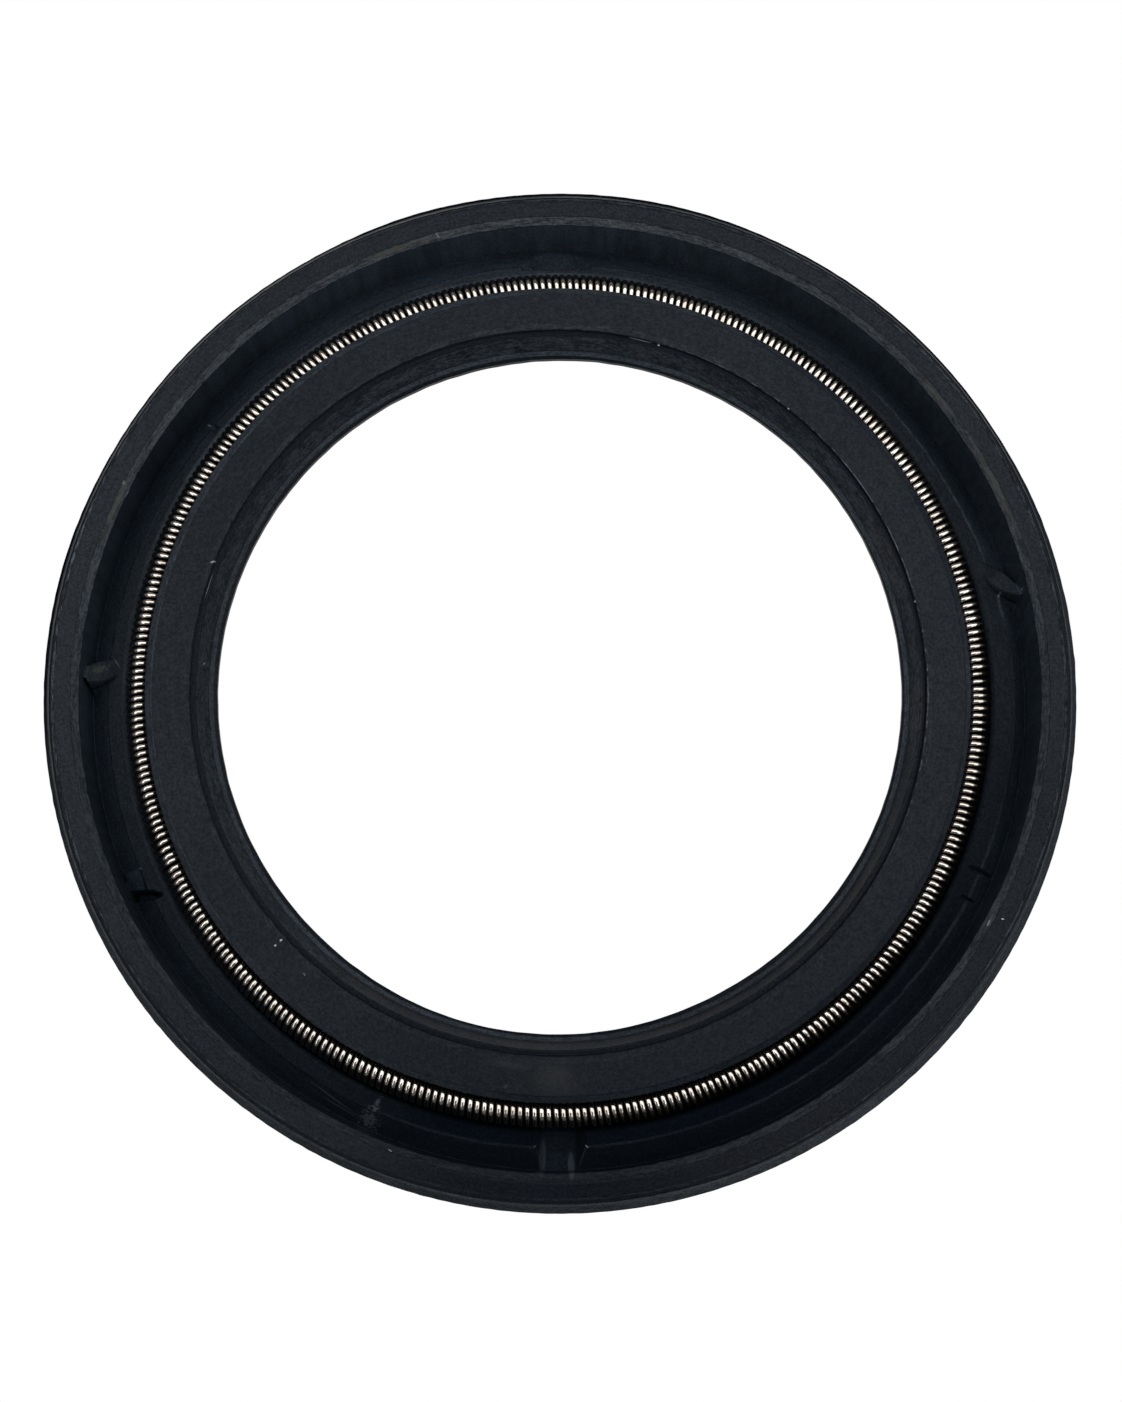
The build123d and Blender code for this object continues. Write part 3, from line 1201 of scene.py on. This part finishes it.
def rubber_material():
    """Black rubber under dust, bloom and wear mixed with painted light, shade, highlights and a reflection,
    with single marks on top.
    """
    material, tree, shader = new_material("nitrile_rubber")
    place, radius, height, outward = ring_coordinates(tree)
    angle = turn_of(tree, outward)
    grain = noise(tree, place, scale=6.0, detail=3.0, rough=0.65)
    clouds = noise(tree, place, scale=0.22, detail=4.0, rough=0.6)
    drawn = streaks(tree, outward, radius, along=14.0, across=3.0)
    fine = streaks(tree, outward, radius, along=60.0, across=14.0)
    streaked = calc(tree, "ADD", calc(tree, "MULTIPLY", drawn, 0.4), calc(tree, "MULTIPLY", fine, 0.6))
    speckle = mapped(tree, grain, *NOISE_SPAN, to_low=0.7, to_high=1.3)
    cloudy = mapped(tree, clouds, *NOISE_SPAN, to_low=0.85, to_high=1.15)

    clean_scale = calc(tree, "MULTIPLY", cloudy, speckle)
    colour = vector_calc(tree, "SCALE", 0, first=CLEAN_RUBBER[:3], scale=clean_scale)
    # Dust, bloom and wear, mixed with painted light and shade, painted highlights and a painted reflection,
    # set round the ring by zone.
    for zones, tint in ((DUST_AND_LIGHT_ZONES, DUST_AND_LIGHT), (WELL_ZONES, WELL_BLOOM_AND_LIGHT), (WEAR_AND_LIGHT_ZONES, WEAR_AND_LIGHT)):
        share = zone_share(tree, zones, angle, radius, height, streaked)
        colour = mix_colour(tree, calc(tree, "MULTIPLY", share, speckle), colour, tint)
    # Single marks: crumbs, scuffs and scratches, with painted highlights and glints among the pale ones.
    for marks, tint in ((TAN_MARKS, TAN), (PALE_MARKS, PALE)):
        colour = mix_colour(tree, mark_share(tree, marks, place, grain), colour, tint)
    tree.links.new(colour, shader.inputs["Base Color"])

    dull = zone_share(tree, DULL_ZONES, angle, radius, height, streaked)
    gloss = calc(
        tree,
        "MAXIMUM",
        mapped(tree, radius, *CHAMFER_RADII, GLOSS, 0.0),
        mapped(tree, height, *CHAMFER_HEIGHTS, GLOSS, 0.0),
    )
    gloss = calc(tree, "MULTIPLY", gloss, calc(tree, "SUBTRACT", 1.0, dull))
    gloss = calc(tree, "MULTIPLY", gloss, speckle)
    tree.links.new(gloss, shader.inputs["Specular IOR Level"])
    roughness = mapped(tree, clouds, *NOISE_SPAN, *RUBBER_ROUGHNESS)
    tree.links.new(roughness, shader.inputs["Roughness"])
    relief = calc(tree, "ADD", grain, calc(tree, "MULTIPLY", fine, 0.7))
    bump = node(tree, "Bump", {"Height": relief, "Distance": RELIEF_DEPTH * MM, "Strength": 1.0})
    tree.links.new(bump.outputs[0], shader.inputs["Normal"])
    return material


def spring_material():
    """Bright wire, with dark oil and painted shade between the turns."""
    material, tree, shader = new_material("spring_steel")
    place, radius, height, outward = ring_coordinates(tree)
    drawn = streaks(tree, outward, radius, along=120.0, across=1.5)
    stain = noise(tree, place, scale=0.9, detail=4.0, rough=0.6)
    sideways = calc(tree, "SUBTRACT", radius, RING_RADIUS)
    upward = calc(tree, "SUBTRACT", height, SPRING_HEIGHT)
    squares = calc(tree, "ADD", calc(tree, "POWER", sideways, 2.0), calc(tree, "POWER", upward, 2.0))
    distance = calc(tree, "SQRT", squares)
    # The crest mask leaves the wire bright on top and paints it dark between the turns: oil, and painted
    # shade.
    crest = mapped(tree, distance, COIL_RADIUS - OIL_AND_SHADE_DEPTH, COIL_RADIUS - CREST_DEPTH)
    stained = mapped(tree, stain, low=0.35, high=0.75)
    metal = mix_colour(tree, stained, BRIGHT_WIRE, STAINED_WIRE)
    colour = mix_colour(tree, crest, OIL_AND_SHADE, metal)
    tree.links.new(colour, shader.inputs["Base Color"])
    shader.inputs["Metallic"].default_value = 1.0
    wire_roughness = mapped(tree, drawn, *NOISE_SPAN, *WIRE_ROUGHNESS)
    cleaned = calc(tree, "MULTIPLY", crest, OIL_ROUGHNESS)
    oil_roughness = calc(tree, "SUBTRACT", OIL_ROUGHNESS, cleaned)
    tree.links.new(calc(tree, "MAXIMUM", wire_roughness, oil_roughness), shader.inputs["Roughness"])
    return material


def case_material():
    """Plain drawn steel, for the case that the rubber hides."""
    material, tree, shader = new_material("case_steel")
    _, radius, _, outward = ring_coordinates(tree)
    drawn = streaks(tree, outward, radius, along=10.0, across=9.0)
    colour = mix_colour(tree, mapped(tree, drawn, *NOISE_SPAN), DARK_STEEL, PALE_STEEL)
    tree.links.new(colour, shader.inputs["Base Color"])
    shader.inputs["Metallic"].default_value = 1.0
    roughness = mapped(tree, drawn, *NOISE_SPAN, *STEEL_ROUGHNESS)
    tree.links.new(roughness, shader.inputs["Roughness"])
    return material


def cover(piece, material):
    piece.data.materials.clear()
    piece.data.materials.append(material)


def dress(piece, material, slot, *nodes):
    """Gives a piece its material, attaches it to the root, and hides the nodes of the frame that it stands
    for.
    """
    cover(piece, material)
    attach(piece, "root")
    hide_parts(*nodes)


# ---- Camera, floor and light ----
CAMERA_DISTANCE = 162.0
CAMERA_TILT = 9.72
CAMERA_LENS = 66.7
SENSOR_WIDTH = 36.0
NEAREST_SEEN = 10.0
FARTHEST_SEEN = 10000.0
AIM = Vector((0.11, -1.08, 8.0))

PANEL_HEIGHT = 256.0
PANEL_BRIGHTNESS = 1.9
PANELS = (
    ("back_panel", (-240, -50), (450, 180)),
    ("left_panel", (-240, -230), (-130, -50)),
    ("right_panel", (130, -230), (450, -50)),
)
ROOM_BRIGHTNESS = 0.15
FLOOR_REACH = 3000.0
# The white background ends between these heights above the horizon, each a sine of its angle.
HORIZON = (0.22, 0.32)


def add_camera():
    """The camera that was fitted to the photograph."""
    data = bpy.data.cameras.new("camera")
    data.lens = CAMERA_LENS
    data.sensor_width = SENSOR_WIDTH
    data.clip_start = NEAREST_SEEN * MM
    data.clip_end = FARTHEST_SEEN * MM
    camera = bpy.data.objects.new("camera", data)
    tilt = math.radians(CAMERA_TILT)
    in_front = CAMERA_DISTANCE * math.sin(tilt)
    above = CAMERA_DISTANCE * math.cos(tilt)
    place = Vector((0.0, -in_front, SEAL_WIDTH + above))
    camera.location = place * MM
    camera.rotation_euler = (AIM - place).to_track_quat("-Z", "Y").to_euler()
    bpy.context.scene.collection.objects.link(camera)
    bpy.context.scene.camera = camera


def area_light(name, place, size, brightness):
    """A level panel that shines down as brightly as a surface with this strength."""
    data = bpy.data.lights.new(name, "AREA")
    data.shape = "RECTANGLE"
    data.size = size[0] * MM
    data.size_y = size[1] * MM
    data.energy = brightness * math.pi * data.size * data.size_y
    light = bpy.data.objects.new(name, data)
    light.location = Vector(place) * MM
    bpy.context.scene.collection.objects.link(light)


def seen_directly(tree):
    """1 for the rays of the camera, and for those in metal and glass."""
    path = node(tree, "LightPath")
    mirrored = calc(tree, "MAXIMUM", path.outputs["Is Glossy Ray"], path.outputs["Is Transmission Ray"])
    return calc(tree, "MAXIMUM", path.outputs["Is Camera Ray"], mirrored)


def add_floor():
    """A pale floor that takes the seal's shadow and shows white where it is seen directly."""
    mesh = bpy.data.meshes.new("floor")
    half = FLOOR_REACH * MM
    corners = [(-half, -half, 0), (half, -half, 0), (half, half, 0), (-half, half, 0)]
    mesh.from_pydata(corners, [], [(0, 1, 2, 3)])
    floor = bpy.data.objects.new("floor", mesh)
    bpy.context.scene.collection.objects.link(floor)
    material, tree, shader = new_material("floor")
    shader.inputs["Base Color"].default_value = (0.8, 0.8, 0.8, 1)
    shader.inputs["Roughness"].default_value = 0.9
    white = node(tree, "Emission", {"Strength": 1.0})
    mix = node(tree, "MixShader", {0: seen_directly(tree), 1: shader.outputs[0], 2: white.outputs[0]})
    tree.links.new(mix.outputs[0], tree.nodes["Material Output"].inputs["Surface"])
    mesh.materials.append(material)


def add_lights():
    """Three overhead panels round the camera, open at the front where the photographer stands."""
    for name, low, high in PANELS:
        middle = ((low[0] + high[0]) / 2, (low[1] + high[1]) / 2, PANEL_HEIGHT)
        size = (high[0] - low[0], high[1] - low[1])
        area_light(name, middle, size, PANEL_BRIGHTNESS)


def add_world():
    """A dim room, with a white background at and below the horizon."""
    world = bpy.data.worlds.new("world")
    bpy.context.scene.world = world
    world.use_nodes = True
    tree = world.node_tree
    direction = node(tree, "TexCoord").outputs["Generated"]
    split = node(tree, "SeparateXYZ", {0: direction})
    room = tree.nodes["Background"]
    room.inputs["Color"].default_value = (1, 1, 1, 1)
    room.inputs["Strength"].default_value = ROOM_BRIGHTNESS
    white = node(tree, "Background", {"Color": (1, 1, 1, 1), "Strength": 1.0})
    low = mapped(tree, split.outputs[2], *HORIZON, 1.0, 0.0)
    share = calc(tree, "MULTIPLY", seen_directly(tree), low)
    mix = node(tree, "MixShader", {0: share, 1: room.outputs[0], 2: white.outputs[0]})
    tree.links.new(mix.outputs[0], tree.nodes["World Output"].inputs["Surface"])


rubber = make_rubber_body()
coil = make_coil()
dress(rubber, rubber_material(), "nitrile_rubber", "rubber_body")
dress(coil, spring_material(), "spring_steel", "garter_spring")
cover(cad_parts["case_insert"], case_material())

add_camera()
add_floor()
add_world()
add_lights()

bpy.context.scene.view_settings.view_transform = "Standard"
